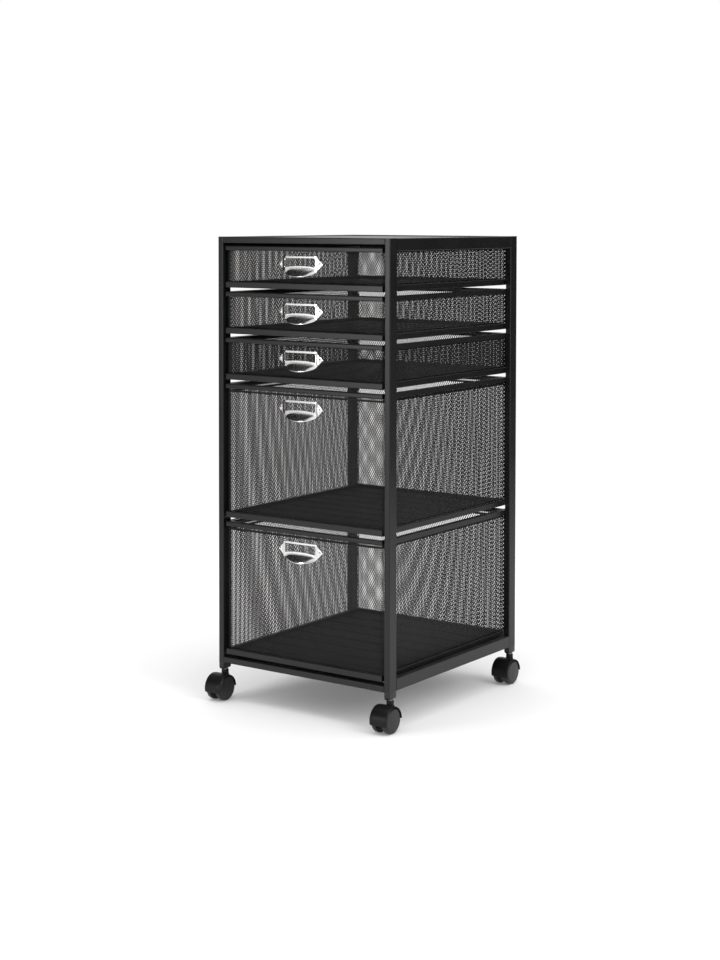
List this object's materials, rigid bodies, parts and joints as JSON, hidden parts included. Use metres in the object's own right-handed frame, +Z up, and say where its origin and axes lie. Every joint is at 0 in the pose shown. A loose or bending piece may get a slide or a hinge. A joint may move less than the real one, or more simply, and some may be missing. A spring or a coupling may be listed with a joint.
{
  "type": "mobile pedestal",
  "caption": "Open black steel frame on twin-wheel swivel casters, holding shallow and deep sliding drawers of expanded-metal mesh with bright card-holder pulls.",
  "frame": {"origin": "centre of the bounding box, on the floor", "axes": "+Z up; the drawers open towards -Y; +X is across the drawer fronts"},
  "size_m": [0.364, 0.4012, 0.75],
  "materials": {
    "frame_black": "satin black powder coat",
    "mesh_black": "satin black powder coat on expanded metal",
    "nickel": "bright nickel plate",
    "steel": "zinc-plated steel",
    "black_plastic": "moulded nylon, fine texture"
  },
  "bodies": {
    "frame": {"front_posts": "frame_black", "rear_posts": "frame_black", "top_cross_rails": "frame_black", "top_side_rails": "frame_black", "bottom_cross_rails": "frame_black", "bottom_side_rails": "frame_black", "top_panel": "frame_black", "post_plugs": "black_plastic", "shallow_runners": "frame_black", "deep_runners": "frame_black", "caster_stems": "steel"},
    "drawer_1": {"drawer_1_rim": "frame_black", "drawer_1_base": "frame_black", "drawer_1_walls": "mesh_black", "drawer_1_floor": "mesh_black", "drawer_1_pull": "nickel", "drawer_1_rivets": "nickel"},
    "drawer_2": {"drawer_2_rim": "frame_black", "drawer_2_base": "frame_black", "drawer_2_walls": "mesh_black", "drawer_2_floor": "mesh_black", "drawer_2_pull": "nickel", "drawer_2_rivets": "nickel"},
    "drawer_3": {"drawer_3_rim": "frame_black", "drawer_3_base": "frame_black", "drawer_3_walls": "mesh_black", "drawer_3_floor": "mesh_black", "drawer_3_pull": "nickel", "drawer_3_rivets": "nickel"},
    "drawer_4": {"drawer_4_rim": "frame_black", "drawer_4_base": "frame_black", "drawer_4_walls": "mesh_black", "drawer_4_floor": "mesh_black", "drawer_4_file_strips": "frame_black", "drawer_4_pull": "nickel", "drawer_4_rivets": "nickel"},
    "drawer_5": {"drawer_5_rim": "frame_black", "drawer_5_base": "frame_black", "drawer_5_walls": "mesh_black", "drawer_5_floor": "mesh_black", "drawer_5_file_strips": "frame_black", "drawer_5_pull": "nickel", "drawer_5_rivets": "nickel"},
    "front_left_caster": {"front_left_caster_hood": "black_plastic", "front_left_caster_axle": "steel"},
    "front_left_wheel_left": {"front_left_caster_wheel_left": "black_plastic"},
    "front_left_wheel_right": {"front_left_caster_wheel_right": "black_plastic"},
    "front_right_caster": {"front_right_caster_hood": "black_plastic", "front_right_caster_axle": "steel"},
    "front_right_wheel_left": {"front_right_caster_wheel_left": "black_plastic"},
    "front_right_wheel_right": {"front_right_caster_wheel_right": "black_plastic"},
    "rear_left_caster": {"rear_left_caster_hood": "black_plastic", "rear_left_caster_axle": "steel"},
    "rear_left_wheel_left": {"rear_left_caster_wheel_left": "black_plastic"},
    "rear_left_wheel_right": {"rear_left_caster_wheel_right": "black_plastic"},
    "rear_right_caster": {"rear_right_caster_hood": "black_plastic", "rear_right_caster_axle": "steel"},
    "rear_right_wheel_left": {"rear_right_caster_wheel_left": "black_plastic"},
    "rear_right_wheel_right": {"rear_right_caster_wheel_right": "black_plastic"}
  },
  "joints": [
    {"name": "drawer_1_slide", "type": "slide", "parent": "frame", "child": "drawer_1", "axis": [0, -1, 0], "range_m": [0, 0.27]},
    {"name": "drawer_2_slide", "type": "slide", "parent": "frame", "child": "drawer_2", "axis": [0, -1, 0], "range_m": [0, 0.27]},
    {"name": "drawer_3_slide", "type": "slide", "parent": "frame", "child": "drawer_3", "axis": [0, -1, 0], "range_m": [0, 0.27]},
    {"name": "drawer_4_slide", "type": "slide", "parent": "frame", "child": "drawer_4", "axis": [0, -1, 0], "range_m": [0, 0.27]},
    {"name": "drawer_5_slide", "type": "slide", "parent": "frame", "child": "drawer_5", "axis": [0, -1, 0], "range_m": [0, 0.27]},
    {"name": "front_left_swivel", "type": "hinge", "parent": "frame", "child": "front_left_caster", "pos_m": [-0.1625, -0.166, 0.06], "axis": [0, 0, 1], "continuous": true},
    {"name": "front_right_swivel", "type": "hinge", "parent": "frame", "child": "front_right_caster", "pos_m": [0.1625, -0.166, 0.06], "axis": [0, 0, 1], "continuous": true},
    {"name": "rear_left_swivel", "type": "hinge", "parent": "frame", "child": "rear_left_caster", "pos_m": [-0.1625, 0.19, 0.06], "axis": [0, 0, 1], "continuous": true},
    {"name": "rear_right_swivel", "type": "hinge", "parent": "frame", "child": "rear_right_caster", "pos_m": [0.1625, 0.19, 0.06], "axis": [0, 0, 1], "continuous": true},
    {"name": "front_left_wheel_left_spin", "type": "hinge", "parent": "front_left_caster", "child": "front_left_wheel_left", "pos_m": [-0.1625, -0.178, 0.0205], "axis": [1, 0, 0], "continuous": true},
    {"name": "front_left_wheel_right_spin", "type": "hinge", "parent": "front_left_caster", "child": "front_left_wheel_right", "pos_m": [-0.1625, -0.178, 0.0205], "axis": [1, 0, 0], "continuous": true},
    {"name": "front_right_wheel_left_spin", "type": "hinge", "parent": "front_right_caster", "child": "front_right_wheel_left", "pos_m": [0.1625, -0.178, 0.0205], "axis": [1, 0, 0], "continuous": true},
    {"name": "front_right_wheel_right_spin", "type": "hinge", "parent": "front_right_caster", "child": "front_right_wheel_right", "pos_m": [0.1625, -0.178, 0.0205], "axis": [1, 0, 0], "continuous": true},
    {"name": "rear_left_wheel_left_spin", "type": "hinge", "parent": "rear_left_caster", "child": "rear_left_wheel_left", "pos_m": [-0.1625, 0.178, 0.0205], "axis": [1, 0, 0], "continuous": true},
    {"name": "rear_left_wheel_right_spin", "type": "hinge", "parent": "rear_left_caster", "child": "rear_left_wheel_right", "pos_m": [-0.1625, 0.178, 0.0205], "axis": [1, 0, 0], "continuous": true},
    {"name": "rear_right_wheel_left_spin", "type": "hinge", "parent": "rear_right_caster", "child": "rear_right_wheel_left", "pos_m": [0.1625, 0.178, 0.0205], "axis": [1, 0, 0], "continuous": true},
    {"name": "rear_right_wheel_right_spin", "type": "hinge", "parent": "rear_right_caster", "child": "rear_right_wheel_right", "pos_m": [0.1625, 0.178, 0.0205], "axis": [1, 0, 0], "continuous": true}
  ]
}
